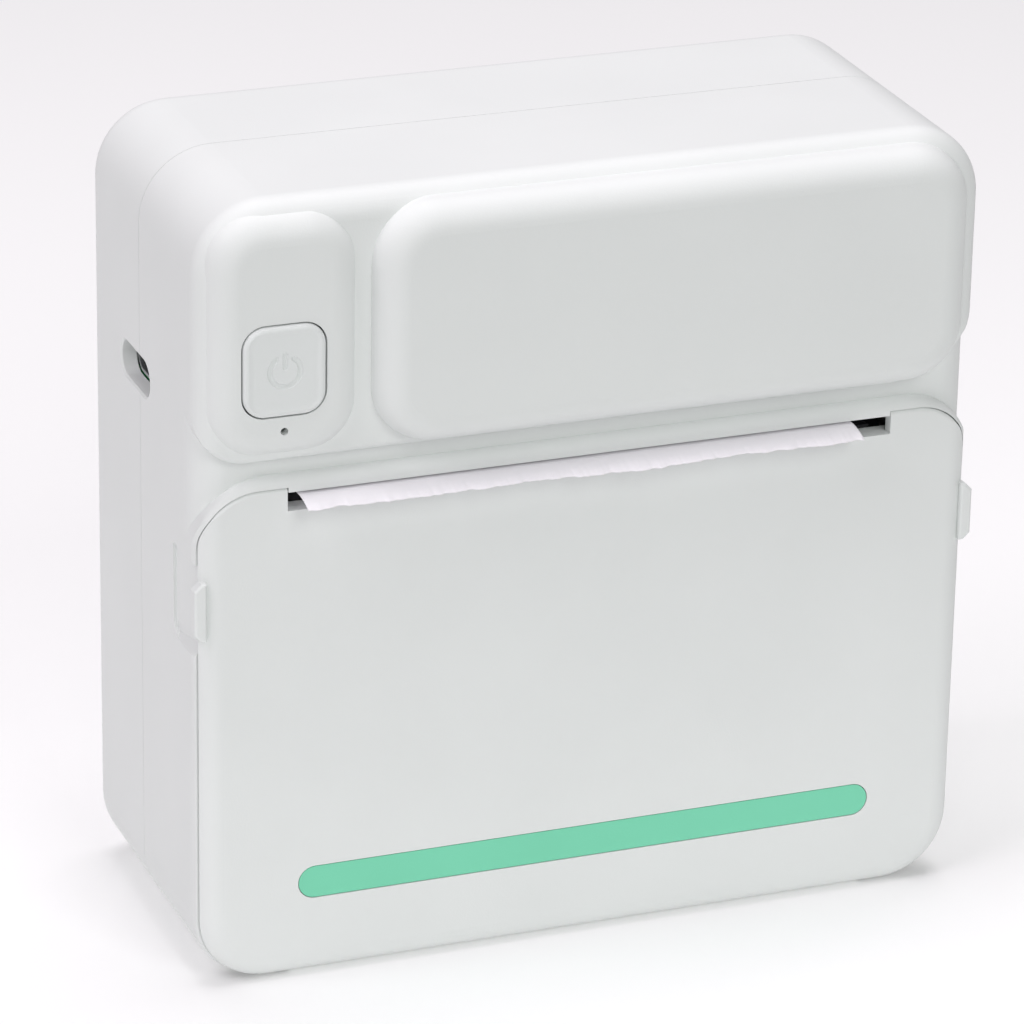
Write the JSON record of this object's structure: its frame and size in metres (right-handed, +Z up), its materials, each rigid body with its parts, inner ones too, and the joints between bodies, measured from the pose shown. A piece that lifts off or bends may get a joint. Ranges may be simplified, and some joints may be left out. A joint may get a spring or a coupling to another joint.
{
  "type": "thermal label printer",
  "caption": "Pocket thermal label printer: upright rounded case, raised button island and panel, hinged roll door with accent strip, paper slot with a torn paper end and a charging port.",
  "frame": {"origin": "middle of the bottom of the whole object, with the paper tip counted in its depth", "axes": "+Z up, -Y towards the door and button side, +X to the right of a viewer facing the door"},
  "size_m": [0.0808, 0.0378, 0.0804],
  "materials": {
    "case_plastic": "fine moulded texture",
    "button_plastic": "smooth matte",
    "accent_plastic": "smooth matte",
    "inner_plastic": "plain moulded",
    "bush_plastic": "plain moulded",
    "gear_plastic": "acetal",
    "frame_steel": "zinc-plated sheet",
    "shaft_steel": "ground",
    "screw_steel": "plated",
    "spring_steel": "drawn wire",
    "brass": "machined",
    "heatsink_aluminium": "brushed",
    "head_ceramic": "glazed",
    "rubber": "ground platen rubber",
    "chip_black": "moulded package",
    "board_green": "solder mask",
    "connector_white": "moulded",
    "ribbon": "polyimide",
    "light_clear": "clear",
    "cell_foil": "foil pouch",
    "tape_foam": "foam",
    "wire_red": "insulation",
    "paper_white": "thermal paper",
    "core_card": "card tube"
  },
  "bodies": {
    "case": {"front_shell": "case_plastic", "rear_shell": "case_plastic", "shell_screws": "screw_steel", "gear_axles": "shaft_steel", "motor_can": "frame_steel", "mechanism_frame": "frame_steel", "frame_screws": "screw_steel", "head_pivot_pin": "shaft_steel", "head_springs": "spring_steel", "head_ribbon": "ribbon", "paper_sensor": "bush_plastic", "tear_bar": "shaft_steel", "paper_bay": "inner_plastic", "paper_web": "paper_white", "main_board": "board_green", "board_screws": "screw_steel", "main_chip": "chip_black", "board_components": "chip_black", "battery_connector": "connector_white", "ribbon_connector": "connector_white", "usb_socket": "shaft_steel", "usb_tongue": "chip_black", "button_board": "board_green", "button_board_screws": "screw_steel", "tact_switch_base": "chip_black", "status_led": "light_clear", "led_light_pipe": "light_clear", "battery_cell": "cell_foil", "battery_tape": "tape_foam", "battery_leads": "wire_red"},
    "door": {"door_panel": "case_plastic", "door_accent_strip": "accent_plastic", "door_inner_frame": "inner_plastic", "hinge_pins": "shaft_steel", "platen_bushings": "bush_plastic", "platen_arms": "bush_plastic"},
    "platen": {"platen_shaft": "shaft_steel", "platen_rubber": "rubber", "platen_gear": "gear_plastic"},
    "roll": {"paper_roll": "paper_white", "roll_core": "core_card"},
    "idler": {"idler_gear": "gear_plastic"},
    "compound": {"compound_gear": "gear_plastic"},
    "motor_rotor": {"motor_shaft": "shaft_steel", "motor_pinion": "brass"},
    "button": {"power_button": "button_plastic"},
    "plunger": {"tact_switch_plunger": "bush_plastic"},
    "head": {"print_head_heatsink": "heatsink_aluminium", "print_head_ceramic": "head_ceramic", "head_driver_cover": "chip_black"}
  },
  "joints": [
    {"name": "door_hinge", "type": "hinge", "parent": "case", "child": "door", "pos_m": [0, -0.01305, 0.0025], "axis": [1, 0, 0], "range_deg": [0, 90]},
    {"name": "paper_roll_spin", "type": "hinge", "parent": "case", "child": "roll", "pos_m": [0, 0.00105, 0.0167], "axis": [1, 0, 0], "continuous": true},
    {"name": "platen_spin", "type": "hinge", "parent": "door", "child": "platen", "pos_m": [0, -0.00855, 0.0466], "axis": [1, 0, 0], "continuous": true},
    {"name": "idler_gear_spin", "type": "hinge", "parent": "case", "child": "idler", "pos_m": [0, 0.00107, 0.0466], "axis": [1, 0, 0], "continuous": true},
    {"name": "compound_gear_spin", "type": "hinge", "parent": "case", "child": "compound", "pos_m": [0, 0.00708, 0.0407], "axis": [1, 0, 0], "continuous": true},
    {"name": "motor_spin", "type": "hinge", "parent": "case", "child": "motor_rotor", "pos_m": [0, 0.01018, 0.04938], "axis": [1, 0, 0], "continuous": true},
    {"name": "power_button_press", "type": "slide", "parent": "case", "child": "button", "axis": [0, 1, 0], "range_m": [0, 0.0003], "stiffness_N_per_m": 1500, "springref_m": -0.0003},
    {"name": "switch_plunger_press", "type": "slide", "parent": "case", "child": "plunger", "axis": [0, 1, 0], "range_m": [0, 0.0003]},
    {"name": "print_head_tilt", "type": "hinge", "parent": "case", "child": "head", "pos_m": [0, -0.00235, 0.0397], "axis": [-1, 0, 0], "range_deg": [0, 1.5], "stiffness_Nm_per_rad": 0.09, "springref_deg": -17.19, "deforming": ["head_springs"]}
  ],
  "couplings": [
    {"joint": "platen_spin", "follows": "paper_roll_spin", "ratio": 3.4},
    {"joint": "idler_gear_spin", "follows": "paper_roll_spin", "ratio": -2.04},
    {"joint": "compound_gear_spin", "follows": "paper_roll_spin", "ratio": 5.1},
    {"joint": "motor_spin", "follows": "paper_roll_spin", "ratio": -14.45},
    {"joint": "switch_plunger_press", "follows": "power_button_press", "ratio": 1}
  ]
}
